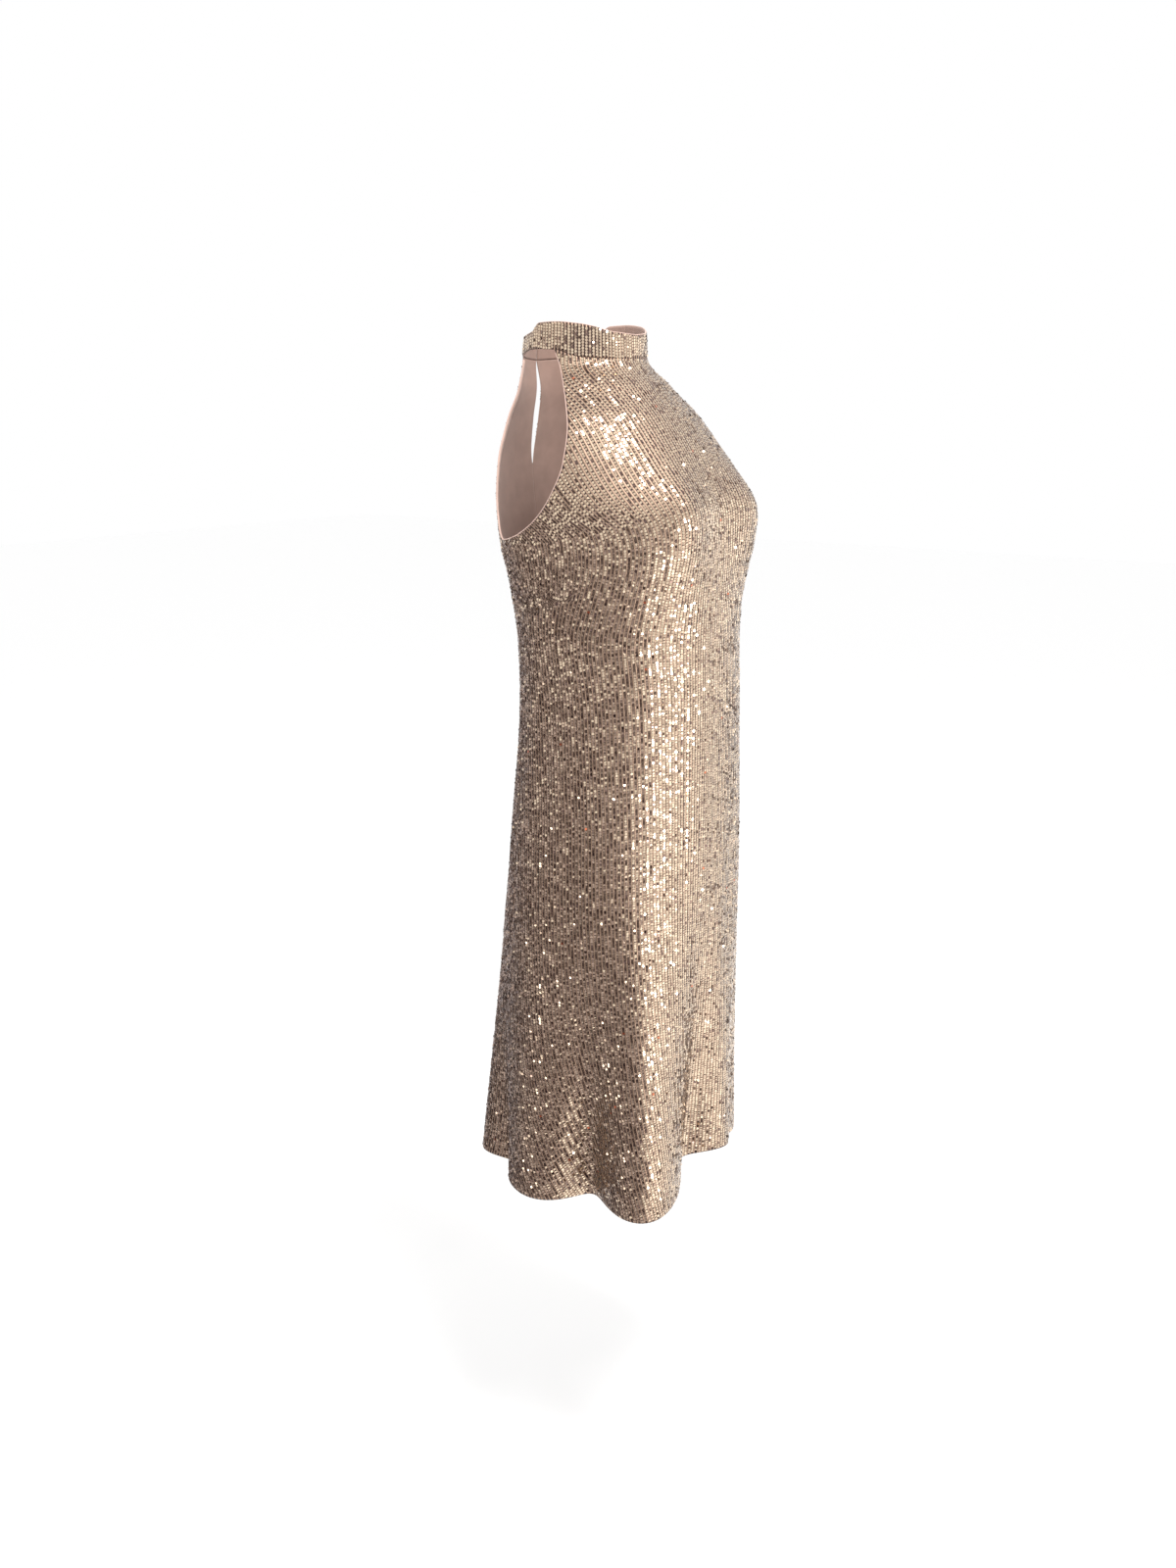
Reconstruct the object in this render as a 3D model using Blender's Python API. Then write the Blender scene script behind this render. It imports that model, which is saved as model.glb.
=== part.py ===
"""Sleeveless cocktail dress with a stand collar, deep cut-in armholes and a flared midi skirt.

Frame: metres, +Z up, the front of the dress towards -Y, the wearer's left towards +X.
The origin is the centre of the neck at the collar seam, where the garment is held.
"""
import bpy
import bmesh
import math
import numpy as np

# Driving sizes
CLOTH = 0.0016             # wall of the sequinned knit with its backing
BAND_CLOTH = 0.0020        # doubled cloth of the collar
TAPE = 0.0010              # wall of the armhole binding
SEAM_GAP = 0.0003          # pieces stand this far apart at every seam

NECK_RADIUS = 0.0765       # outside of the collar at its seam
COLLAR_TAPER = 0.0015      # the collar closes in by this much towards its top
COLLAR_SIDE_SEAM = 82.0    # degrees from centre front, where the front panel also ends
COLLAR_COLUMNS = (24, 14)  # across the front band, and across each back band
COLLAR_ROWS = 2

UNDERARM_Z = -0.213        # bottom of the armholes
HEM_Z = -1.043             # mean height of the hem
FRONT_COLUMNS = 36
BACK_COLUMNS = 15
HEM_LIFT = {"rise": 0.033, "angle": 10.0, "spread": 34.0}   # the bust lifts the front hem
SLIT_BOTTOM_Z = -0.130     # the centre-back seam is left open above this
SLIT_HALF_WIDTH = 0.005
CENTRE_BACK_GAP = 0.0016   # between the two ends of the collar, held by the loop

BINDING_WIDTH = 0.0060     # how far the binding reaches in from the armhole edge
BINDING_LIP = 0.0012       # how far it stands past the edge
BINDING_START = (0.75, 0.60)   # share of the first row that it leaves free, front and back
TAPE_GAP = 0.0008          # between the cloth and the tape at the edge
TAPE_LEAN = 0.0008         # how much further off the cloth its inner edge stands

BUTTON_RADIUS = 0.0052
BUTTON_THICKNESS = 0.0026
BUTTON_ANGLE = -174.0
BUTTON_SIDES = 20
# Button from its foot to its crown: share of the radius, share of the thickness
BUTTON_PROFILE = ((0.60, 0.0), (0.92, 0.10), (1.0, 0.40), (0.90, 0.75), (0.55, 1.0))
LOOP_CORD = 0.0007         # radius of the loop's cord
LOOP_WIDTH = 0.0150        # the loop lies round the button, clear of its rim
LOOP_ANGLE = 176.0         # where the loop leaves the left end of the collar
LOOP_ROOT_SHARE = 0.45     # the loop's width where it is sewn on, as a share of its full width
LOOP_BEND = 60.0           # half angle of the bend round the button
LOOP_POINTS = 5            # in each leg, and in the bend

# Heights of the rows of a panel, from the collar seam to the underarm and from there to the hem
YOKE_ROWS = (0.0, -0.012, -0.027, -0.047, -0.072, -0.100, -0.130, -0.155, -0.175,
             -0.190, -0.201, -0.2085, -0.213)
SKIRT_ROWS = (-0.235, -0.262, -0.295, -0.340, -0.400, -0.470, -0.550, -0.640, -0.730,
              -0.820, -0.900, -0.975, -1.043)

# Collar: degrees from centre front, height of its seam, height of its top edge
COLLAR_COLUMN_NAMES = ("angle", "seam", "top")
COLLAR = [(0.0, -0.0005, 0.0258), (30.0, -0.0010, 0.0292), (45.0, -0.0008, 0.0345),
          (60.0, 0.0006, 0.0380), (82.0, 0.0084, 0.0404), (101.0, 0.0096, 0.0396),
          (112.0, 0.0090, 0.0300), (125.0, 0.0062, 0.0266), (145.0, 0.0018, 0.0238),
          (180.0, -0.0015, 0.0222)]

# Level sections: height, centre (Y), half width (X), depth in front and behind, squareness
SECTION_COLUMNS = ("z", "centre", "width", "front", "back", "square")
SECTIONS = [
    (0.020, 0.000, 0.0765, 0.0765, 0.0765, 2.0),
    (0.000, 0.000, 0.0765, 0.0765, 0.0765, 2.0),
    (-0.035, -0.010, 0.1080, 0.0940, 0.0830, 2.0),
    (-0.072, -0.018, 0.1400, 0.1180, 0.0960, 2.1),
    (-0.125, -0.028, 0.1520, 0.1440, 0.1120, 2.2),
    (-0.180, -0.038, 0.1550, 0.1600, 0.1180, 2.3),
    (-0.215, -0.042, 0.1540, 0.1580, 0.1180, 2.3),
    (-0.270, -0.052, 0.1490, 0.1470, 0.1150, 2.3),
    (-0.340, -0.058, 0.1440, 0.1400, 0.1110, 2.3),
    (-0.420, -0.062, 0.1450, 0.1370, 0.1140, 2.3),
    (-0.560, -0.064, 0.1540, 0.1350, 0.1290, 2.3),
    (-0.740, -0.064, 0.1620, 0.1360, 0.1480, 2.2),
    (-0.920, -0.062, 0.1680, 0.1400, 0.1620, 2.1),
    (-1.060, -0.060, 0.1720, 0.1440, 0.1700, 2.0),
]

# Folds that fall from the hips: angle at the hem, reach out (+) or in (-), half spread, start height
FLUTES = [
    (-46.0, 0.050, 20.0, -0.60),
    (-71.0, -0.042, 15.0, -0.62),
    (-98.0, 0.010, 18.0, -0.60),
    (-129.0, -0.024, 12.0, -0.70),
    (-147.0, 0.021, 15.0, -0.62),
    (-170.0, -0.022, 14.0, -0.66),
    (166.0, 0.020, 17.0, -0.58),
    (140.0, -0.024, 15.0, -0.64),
    (110.0, 0.026, 20.0, -0.60),
    (66.0, 0.014, 16.0, -0.66),
    (36.0, -0.014, 12.0, -0.62),
    (14.0, 0.006, 11.0, -0.70),
    (-9.0, -0.040, 15.0, -0.60),
]
FLUTE_SHARPNESS = 1.4      # how quickly a fold dies away sideways
FLUTE_GROWTH = 1.6         # how a fold's reach grows on the way down
FLUTE_MOST = 1.3           # growth stops this far past the hem

# Edge of the front at the armhole, and of the back: height, degrees from centre front
ARMHOLE_FRONT = [(0.0084, 82.0), (-0.010, 76.0), (-0.028, 72.5), (-0.072, 68.5), (-0.118, 72.0),
                 (-0.155, 79.5), (-0.183, 88.5), (-0.203, 100.0), (-0.211, 110.0), (-0.213, 117.0)]
ARMHOLE_BACK = [(0.0018, 146.0), (-0.030, 143.0), (-0.072, 140.0), (-0.118, 136.0),
                (-0.160, 131.0), (-0.190, 126.0), (-0.207, 121.0), (-0.213, 117.0)]
# Side seam below the armhole
SIDE_SEAM = [(-0.213, 117.0), (-0.35, 117.0), (-0.60, 116.0), (-1.10, 116.0)]

# Cups at the bust: sideways place, height, reach, spread across, above and below,
# and the depth over which they fade out towards the sides
CUP = {"x": 0.082, "z": -0.178, "reach": 0.020, "across": 0.046, "above": 0.060, "below": 0.075,
       "fade": 0.06}
YOKE_FOLLOW = -0.062       # below this height the rows no longer follow the collar seam
SLIT_ROUNDNESS = 0.8       # shape of the teardrop at centre back
NORMAL_STEP = (0.2, 0.0008)   # degrees and metres between the points that give a normal
SHARP_ANGLE = 50.0         # edges sharper than this stay sharp in shading


def smooth_table(rows, at):
    """Value of a two-column table at heights `at`, by a monotone cubic through its rows."""
    rows = sorted(rows)
    x = np.array([row[0] for row in rows])
    y = np.array([row[1] for row in rows])
    step = np.diff(x)
    slope = np.diff(y) / step
    tangent = np.zeros_like(y)
    tangent[0] = slope[0]
    tangent[-1] = slope[-1]
    same = slope[:-1] * slope[1:] > 0.0
    mean = 2.0 * slope[:-1] * slope[1:] / np.where(same, slope[:-1] + slope[1:], 1.0)
    tangent[1:-1] = np.where(same, mean, 0.0)
    at = np.clip(np.asarray(at, float), x[0], x[-1])
    cell = np.clip(np.searchsorted(x, at, side="right") - 1, 0, len(x) - 2)
    t = (at - x[cell]) / step[cell]
    h00 = (1.0 + 2.0 * t) * (1.0 - t) ** 2
    h10 = t * (1.0 - t) ** 2
    h01 = t * t * (3.0 - 2.0 * t)
    h11 = t * t * (t - 1.0)
    return (h00 * y[cell] + h10 * step[cell] * tangent[cell]
            + h01 * y[cell + 1] + h11 * step[cell] * tangent[cell + 1])


def section_value(name, z):
    """One column of SECTIONS at height z."""
    column = SECTION_COLUMNS.index(name)
    return smooth_table([(row[0], row[column]) for row in SECTIONS], z)


def turn_from(angle, place):
    """Degrees from a place round the dress, between -180 and 180."""
    return (angle - place + 180.0) % 360.0 - 180.0


def smoothstep(low, high, value):
    """0 below low, 1 above high, and a smooth rise between."""
    t = np.clip((value - low) / (high - low), 0.0, 1.0)
    return t * t * (3.0 - 2.0 * t)


def dress_radius(angle, z):
    """Distance of the cloth from the section's centre, at `angle` degrees from centre front."""
    turn = np.radians(angle)
    sine = np.abs(np.sin(turn))
    cosine = np.abs(np.cos(turn))
    depth = np.where(np.cos(turn) > 0.0, section_value("front", z), section_value("back", z))
    power = section_value("square", z)
    radius = ((sine / section_value("width", z)) ** power
              + (cosine / depth) ** power) ** (-1.0 / power)
    for place, reach, spread, start in FLUTES:
        away = turn_from(angle, place)
        bump = np.exp(-(away / spread) ** 2 * FLUTE_SHARPNESS)
        fall = np.clip((start - z) / (start - HEM_Z), 0.0, FLUTE_MOST) ** FLUTE_GROWTH
        radius = radius + reach * bump * fall
    return radius


def dress_point(angle, z):
    """Outer face of the dress at `angle` degrees from centre front and height z."""
    angle = np.asarray(angle, float)
    z = np.asarray(z, float)
    angle, z = np.broadcast_arrays(angle, z)
    radius = dress_radius(angle, z)
    turn = np.radians(angle)
    x = radius * np.sin(turn)
    y = section_value("centre", z) - radius * np.cos(turn)
    height = z - CUP["z"]
    tall = np.where(height > 0.0, CUP["above"], CUP["below"])
    cup = np.exp(-((np.abs(x) - CUP["x"]) / CUP["across"]) ** 2 - (height / tall) ** 2)
    front = smoothstep(0.0, CUP["fade"], section_value("centre", z) - y)
    y = y - CUP["reach"] * cup * front
    return np.stack([x, y, z], axis=-1)


def hem_height(angle):
    """Height of the hem at `angle` degrees from centre front."""
    away = turn_from(np.asarray(angle, float), HEM_LIFT["angle"])
    return HEM_Z + HEM_LIFT["rise"] * np.exp(-(away / HEM_LIFT["spread"]) ** 2)


def collar_height(name, angle):
    """Height of the collar's seam or top edge at `angle` degrees from centre front."""
    column = COLLAR_COLUMN_NAMES.index(name)
    return smooth_table([(row[0], row[column]) for row in COLLAR], np.abs(angle))


def panel_height(angle, row):
    """Height of a panel's row at an angle: it follows the collar seam above and the hem below."""
    seam = (collar_height("seam", angle) - SEAM_GAP) * smoothstep(YOKE_FOLLOW, 0.0, row)
    below = np.clip((UNDERARM_Z - row) / (UNDERARM_Z - HEM_Z), 0.0, 1.0)
    return row + seam + (hem_height(angle) - HEM_Z) * below


def side_edge(table, row):
    """Degrees from centre front of a panel's side edge at a row: armhole above, side seam below."""
    if row <= UNDERARM_Z:
        return float(smooth_table(SIDE_SEAM, row))
    top_angle = max(table)[1]
    return float(smooth_table(table, panel_height(top_angle, row)))


def seam_inset(row, angle):
    """Half of the seam gap as an angle, at a row's own radius."""
    return math.degrees(0.5 * SEAM_GAP / float(dress_radius(angle, row)))


def slit_inset(row):
    """Half width of the opening at centre back: a teardrop under the collar."""
    if row <= SLIT_BOTTOM_Z:
        return 0.5 * SEAM_GAP
    along = row / SLIT_BOTTOM_Z
    return 0.5 * CENTRE_BACK_GAP + SLIT_HALF_WIDTH * math.sin(math.pi * along) ** SLIT_ROUNDNESS


def surface_normal(angle, z):
    """Outward normal of the dress at an angle and height."""
    turn, drop = NORMAL_STEP
    across = dress_point(angle + turn, z) - dress_point(angle - turn, z)
    down = dress_point(angle, z - drop) - dress_point(angle, z + drop)
    return unit(np.cross(down, across))


def unit(vectors):
    """Vectors scaled to length one."""
    return vectors / np.linalg.norm(vectors, axis=-1, keepdims=True)


def front_grid():
    """Outer points of the front panel in rows from side to side, and their normals."""
    points = []
    normals = []
    for row in YOKE_ROWS + SKIRT_ROWS:
        edge = side_edge(ARMHOLE_FRONT, row)
        if row <= UNDERARM_Z:
            edge -= seam_inset(row, edge)
        angle = np.linspace(-edge, edge, FRONT_COLUMNS + 1)
        z = panel_height(angle, row)
        points.append(dress_point(angle, z))
        normals.append(surface_normal(angle, z))
    return np.array(points), np.array(normals)


def back_grid(side):
    """Outer points of a back panel and their normals; side is +1 for the wearer's left."""
    points = []
    normals = []
    for row in YOKE_ROWS + SKIRT_ROWS:
        edge = side_edge(ARMHOLE_BACK, row)
        if row <= UNDERARM_Z:
            edge += seam_inset(row, side * edge)
        centre = 180.0 - math.degrees(slit_inset(row) / float(dress_radius(180.0, row)))
        angle = np.sort(side * np.linspace(edge, centre, BACK_COLUMNS + 1))
        z = panel_height(angle, row)
        points.append(dress_point(angle, z))
        normals.append(surface_normal(angle, z))
    return np.array(points), np.array(normals)


def collar_grid(start, end, columns):
    """Outer points of a collar band between two angles, top edge first, and their normals."""
    angle = np.linspace(start, end, columns + 1)
    seam = collar_height("seam", angle)
    top = collar_height("top", angle)
    turn = np.radians(angle)
    out = np.stack([np.sin(turn), -np.cos(turn), np.zeros_like(turn)], axis=-1)
    points = []
    for step in range(COLLAR_ROWS + 1):
        up = 1.0 - step / COLLAR_ROWS
        level = (NECK_RADIUS - COLLAR_TAPER * up) * out
        level[:, 2] = seam + (top - seam) * up
        points.append(level)
    return np.array(points), np.array([out] * (COLLAR_ROWS + 1))


def new_material(name, colour, roughness, metallic):
    """A Principled material with the piece's colour, roughness and metallic value."""
    material = bpy.data.materials.new(name)
    material.use_nodes = True
    shader = material.node_tree.nodes["Principled BSDF"]
    shader.inputs["Base Color"].default_value = (*colour, 1.0)
    shader.inputs["Roughness"].default_value = roughness
    shader.inputs["Metallic"].default_value = metallic
    return material


def add_object(name, mesh, material, collection):
    """Puts a mesh in the collection as a named, smooth-shaded object."""
    thing = bpy.data.objects.new(name, mesh)
    mesh.materials.append(material)
    mesh.shade_smooth()
    mesh.set_sharp_from_angle(angle=math.radians(SHARP_ANGLE))
    collection.objects.link(thing)
    return thing


def sheet(name, skin, wall, material, collection):
    """A cloth wall: the outer points, the same points moved in by the wall, and a rim between."""
    outer, normals = skin
    inner = outer - wall * normals
    rows, columns = outer.shape[:2]
    out = np.arange(rows * columns).reshape(rows, columns)
    back = out + rows * columns
    quads = [quad_strip(out), quad_strip(back[:, ::-1])]
    border = np.concatenate([out[0, :-1], out[:-1, -1], out[-1, :0:-1], out[:0:-1, 0]])
    quads.append(quad_strip(np.stack([np.append(border, border[0]),
                                      np.append(border, border[0]) + rows * columns])[::-1]))
    points = np.concatenate([outer.reshape(-1, 3), inner.reshape(-1, 3)])
    mesh = bpy.data.meshes.new(name)
    mesh.from_pydata(points.tolist(), [], np.concatenate(quads).tolist())
    return add_object(name, mesh, material, collection)


def quad_strip(corner):
    """Four-sided faces between the rows of a grid of corner numbers."""
    faces = np.stack([corner[:-1, :-1], corner[1:, :-1], corner[1:, 1:], corner[:-1, 1:]], axis=-1)
    return faces.reshape(-1, 4)


def tube(name, rings, material, collection):
    """A closed bar through equal rings of points, with its two ends filled."""
    count, sides = rings.shape[:2]
    corner = np.arange(count * sides).reshape(count, sides)
    onward = np.roll(corner, -1, axis=1)
    faces = np.stack([corner[:-1], onward[:-1], onward[1:], corner[1:]], axis=-1)
    faces = faces.reshape(-1, 4).tolist()
    faces.append(corner[0][::-1].tolist())
    faces.append(corner[-1].tolist())
    mesh = bpy.data.meshes.new(name)
    mesh.from_pydata(rings.reshape(-1, 3).tolist(), [], faces)
    shape = bmesh.new()
    shape.from_mesh(mesh)
    bmesh.ops.recalc_face_normals(shape, faces=shape.faces)
    shape.to_mesh(mesh)
    shape.free()
    return add_object(name, mesh, material, collection)


def armhole_edge(side, front, back):
    """Edge points of an armhole, front top to back top, with the normals of the cloth there."""
    last = len(YOKE_ROWS)
    stretches = []
    for grid, column, share in ((front, -1 if side > 0 else 0, BINDING_START[0]),
                                (back, 0 if side > 0 else -1, BINDING_START[1])):
        edge, out = grid[0][:last, column].copy(), grid[1][:last, column].copy()
        for values in (edge, out):
            values[0] += (values[1] - values[0]) * share
        stretches.append((edge, unit(out)))
    (front_edge, front_out), (back_edge, back_out) = stretches
    edge = np.concatenate([front_edge[:-1], back_edge[::-1]])
    out = np.concatenate([front_out[:-1], back_out[::-1]])
    out[last - 1] = unit(front_out[-1] + back_out[-1])
    return edge, out


def binding_rings(side, front, back):
    """Rings of the armhole binding: a flat tape under the edge of the cloth."""
    edge, out = armhole_edge(side, front, back)
    along = unit(np.gradient(edge, axis=0))
    into = side * unit(np.cross(along, out))
    depth = CLOTH + TAPE_GAP
    corners = ((-BINDING_LIP, depth), (BINDING_WIDTH, depth + TAPE_LEAN),
               (BINDING_WIDTH, depth + TAPE_LEAN + TAPE), (-BINDING_LIP, depth + TAPE))
    rings = [edge + reach * into - down * out for reach, down in corners]
    return np.stack(rings, axis=1)


def neck_frame(angle, up):
    """Point on the collar's outer face at a share `up` of its height, with across, up and out."""
    turn = math.radians(angle)
    seam = float(collar_height("seam", angle))
    top = float(collar_height("top", angle))
    radius = NECK_RADIUS - COLLAR_TAPER * up
    out = np.array([math.sin(turn), -math.cos(turn), 0.0])
    point = radius * out + np.array([0.0, 0.0, seam + (top - seam) * up])
    across = np.array([math.cos(turn), math.sin(turn), 0.0])
    return point, across, np.array([0.0, 0.0, 1.0]), out


def button_rings():
    """Rings of a small domed button on the right end of the collar."""
    point, across, up, out = neck_frame(BUTTON_ANGLE, 0.5)
    turns = np.linspace(0.0, 2.0 * math.pi, BUTTON_SIDES, endpoint=False)
    rings = []
    for share, height in BUTTON_PROFILE:
        ring = [point + out * (2.0 * SEAM_GAP + height * BUTTON_THICKNESS)
                + BUTTON_RADIUS * share * (across * math.cos(turn) + up * math.sin(turn))
                for turn in turns]
        rings.append(ring)
    return np.array(rings)


def loop_object(material, collection):
    """Cord loop from the left end of the collar that passes round the foot of the button."""
    button, across, up, out = neck_frame(BUTTON_ANGLE, 0.5)
    root = neck_frame(LOOP_ANGLE, 0.5)[0]
    lift = LOOP_CORD + 2.0 * SEAM_GAP
    half = LOOP_WIDTH * 0.5
    span = float((button - root) @ across)
    legs = np.linspace(0.0, 1.0, LOOP_POINTS)
    turns = np.radians(np.linspace(LOOP_BEND, -LOOP_BEND, LOOP_POINTS))
    wide = half * (LOOP_ROOT_SHARE + (1.0 - LOOP_ROOT_SHARE) * legs)
    flat = list(zip(span * legs, wide))
    flat += [(span + half * math.cos(turn), half * math.sin(turn)) for turn in turns]
    flat += list(zip(span * legs[::-1], -wide[::-1]))
    route = []
    for along, high in flat:
        level = root + across * along
        level = out_of_collar(level, lift) + up * high
        route.append(level)
    curve = bpy.data.curves.new("loop", "CURVE")
    curve.dimensions = "3D"
    curve.bevel_depth = LOOP_CORD
    curve.bevel_resolution = 1
    curve.use_fill_caps = True
    spline = curve.splines.new("POLY")
    spline.points.add(len(route) - 1)
    for place, point in zip(spline.points, route):
        place.co = (*point, 1.0)
    thing = bpy.data.objects.new("loop", curve)
    curve.materials.append(material)
    collection.objects.link(thing)
    return thing


def out_of_collar(point, lift):
    """The point moved level until it stands `lift` outside the collar."""
    flat = np.array([point[0], point[1], 0.0])
    return unit(flat) * (NECK_RADIUS + lift) + np.array([0.0, 0.0, point[2]])


def build():
    """Makes the whole dress."""
    for thing in list(bpy.data.objects):
        bpy.data.objects.remove(thing, do_unlink=True)
    dress = bpy.data.collections.new("cocktail_dress")
    bpy.context.scene.collection.children.link(dress)

    knit = new_material("sequin_knit", (0.50, 0.33, 0.21), 0.35, 0.6)
    collar_knit = new_material("collar_knit", (0.47, 0.31, 0.20), 0.38, 0.6)
    tape = new_material("pink_tape", (0.72, 0.50, 0.42), 0.60, 0.0)
    horn = new_material("button_horn", (0.42, 0.28, 0.19), 0.30, 0.0)

    front = front_grid()
    back_left = back_grid(1)
    back_right = back_grid(-1)
    sheet("front", front, CLOTH, knit, dress)
    sheet("back_left", back_left, CLOTH, knit, dress)
    sheet("back_right", back_right, CLOTH, knit, dress)

    seam = COLLAR_SIDE_SEAM
    gap = math.degrees(0.5 * SEAM_GAP / NECK_RADIUS)
    end = 180.0 - math.degrees(0.5 * CENTRE_BACK_GAP / NECK_RADIUS)
    front_columns, back_columns = COLLAR_COLUMNS
    sheet("collar_front", collar_grid(-seam + gap, seam - gap, front_columns),
          BAND_CLOTH, collar_knit, dress)
    sheet("collar_back_left", collar_grid(seam + gap, end, back_columns),
          BAND_CLOTH, collar_knit, dress)
    sheet("collar_back_right", collar_grid(-end, -seam - gap, back_columns),
          BAND_CLOTH, collar_knit, dress)

    tube("binding_left", binding_rings(1, front, back_left), tape, dress)
    tube("binding_right", binding_rings(-1, front, back_right), tape, dress)
    tube("button", button_rings(), horn, dress)
    loop_object(tape, dress)


build()
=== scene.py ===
# Sequinned cocktail dress: cloth shells, sewn-on sequins, armhole tape, collar and nape button.
# Frame: metres, +Z up, the front of the dress towards -Y, the wearer's left towards +X,
# the origin at the centre of the neck on the collar seam.
import math
import bmesh
import bpy
import numpy as np
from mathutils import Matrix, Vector


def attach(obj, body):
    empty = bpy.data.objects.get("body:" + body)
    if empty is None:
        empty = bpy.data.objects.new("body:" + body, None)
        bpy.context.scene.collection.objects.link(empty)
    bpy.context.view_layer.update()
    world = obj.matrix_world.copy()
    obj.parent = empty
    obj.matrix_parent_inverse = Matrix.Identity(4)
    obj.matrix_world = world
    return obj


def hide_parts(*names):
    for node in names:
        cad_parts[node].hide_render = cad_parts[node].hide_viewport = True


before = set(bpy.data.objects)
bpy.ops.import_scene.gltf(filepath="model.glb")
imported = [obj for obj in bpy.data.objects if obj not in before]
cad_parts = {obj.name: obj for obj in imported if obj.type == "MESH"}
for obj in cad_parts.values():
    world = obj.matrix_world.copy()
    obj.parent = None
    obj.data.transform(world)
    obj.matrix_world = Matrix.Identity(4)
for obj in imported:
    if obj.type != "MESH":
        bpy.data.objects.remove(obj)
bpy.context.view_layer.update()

# the body of the dress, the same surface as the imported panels, with its seams sewn shut
dress = {
    "underarm": -0.213,        # bottom of the armholes
    "hem": -1.043,             # mean height of the hem
    "frontRise": 0.033,        # the bust lifts the front hem by this much
    "riseAngle": 10.0,
    "riseSpread": 34.0,
    "neckRadius": 0.0765,
    "collarTaper": 0.0015,
    "collarSeamAngle": 82.0,
    "slitBottom": -0.130,
    "slitHalfWidth": 0.005,
    "backGap": 0.0016,
    "wall": 0.0014,            # cloth and backing together
    "seamFade": -0.062,        # the collar seam's own line is gone at this height
    "girthRadius": 0.155,      # mean radius, to turn a width along the cloth into degrees
}

# height, centre, half width, depth in front, depth behind, squareness
sectionNames = ("z", "centre", "width", "front", "back", "square")
sections = [
    (0.020, 0.000, 0.0765, 0.0765, 0.0765, 2.0),
    (0.000, 0.000, 0.0765, 0.0765, 0.0765, 2.0),
    (-0.035, -0.010, 0.1080, 0.0940, 0.0830, 2.0),
    (-0.072, -0.018, 0.1400, 0.1180, 0.0960, 2.1),
    (-0.125, -0.028, 0.1520, 0.1440, 0.1120, 2.2),
    (-0.180, -0.038, 0.1550, 0.1600, 0.1180, 2.3),
    (-0.215, -0.042, 0.1540, 0.1580, 0.1180, 2.3),
    (-0.270, -0.052, 0.1490, 0.1470, 0.1150, 2.3),
    (-0.340, -0.058, 0.1440, 0.1400, 0.1110, 2.3),
    (-0.420, -0.062, 0.1450, 0.1370, 0.1140, 2.3),
    (-0.560, -0.064, 0.1540, 0.1350, 0.1290, 2.3),
    (-0.740, -0.064, 0.1620, 0.1360, 0.1480, 2.2),
    (-0.920, -0.062, 0.1680, 0.1400, 0.1620, 2.1),
    (-1.060, -0.060, 0.1720, 0.1440, 0.1700, 2.0),
]

# folds from the hips: angle at the hem, reach out or in, half spread, start height
flutes = [
    (-46.0, 0.050, 20.0, -0.60),
    (-71.0, -0.042, 15.0, -0.62),
    (-98.0, 0.010, 18.0, -0.60),
    (-129.0, -0.024, 12.0, -0.70),
    (-147.0, 0.021, 15.0, -0.62),
    (-170.0, -0.022, 14.0, -0.66),
    (166.0, 0.020, 17.0, -0.58),
    (140.0, -0.024, 15.0, -0.64),
    (110.0, 0.026, 20.0, -0.60),
    (66.0, 0.014, 16.0, -0.66),
    (36.0, -0.014, 12.0, -0.62),
    (14.0, 0.006, 11.0, -0.70),
    (-9.0, -0.040, 15.0, -0.60),
]

# small creases laid on the form: angle and height of one end, of the other, depth, half width
creases = [
    (-92.0, -0.330, -100.0, -0.620, 0.0016, 0.014),
    (-78.0, -0.420, -84.0, -0.760, 0.0022, 0.016),
    (-60.0, -0.560, -58.0, -0.900, 0.0014, 0.018),
    (-28.0, -0.360, -24.0, -0.700, 0.0012, 0.016),
    (-104.0, -0.235, -82.0, -0.255, 0.0010, 0.010),
    (-38.0, -0.255, -30.0, -0.400, 0.0014, 0.015),
    (34.0, -0.250, 27.0, -0.420, 0.0015, 0.014),
    (20.0, -0.500, 16.0, -0.860, 0.0014, 0.017),
    (76.0, -0.340, 82.0, -0.660, 0.0018, 0.015),
    (98.0, -0.460, 94.0, -0.820, 0.0016, 0.015),
    (104.0, -0.240, 80.0, -0.262, 0.0010, 0.010),
    (150.0, -0.300, 146.0, -0.560, 0.0018, 0.016),
    (-158.0, -0.280, -152.0, -0.520, 0.0016, 0.015),
    (172.0, -0.420, 176.0, -0.700, 0.0012, 0.014),
    (-136.0, -0.350, -133.0, -0.720, 0.0015, 0.015),
    (128.0, -0.310, 124.0, -0.640, 0.0014, 0.013),
]

cup = {"x": 0.082, "z": -0.178, "reach": 0.020, "across": 0.046, "above": 0.060, "below": 0.075}

# edge of the front and of the back at the armhole, then the side seam: height, degrees
armholeFront = [(0.0084, 82.0), (-0.010, 76.0), (-0.028, 72.5), (-0.072, 68.5), (-0.118, 72.0),
                (-0.155, 79.5), (-0.183, 88.5), (-0.203, 100.0), (-0.211, 110.0), (-0.213, 117.0)]
armholeBack = [(0.0018, 146.0), (-0.030, 143.0), (-0.072, 140.0), (-0.118, 136.0),
               (-0.160, 131.0), (-0.190, 126.0), (-0.207, 121.0), (-0.213, 117.0)]
sideSeam = [(-0.213, 117.0), (-0.35, 117.0), (-0.60, 116.0), (-1.10, 116.0)]

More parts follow.
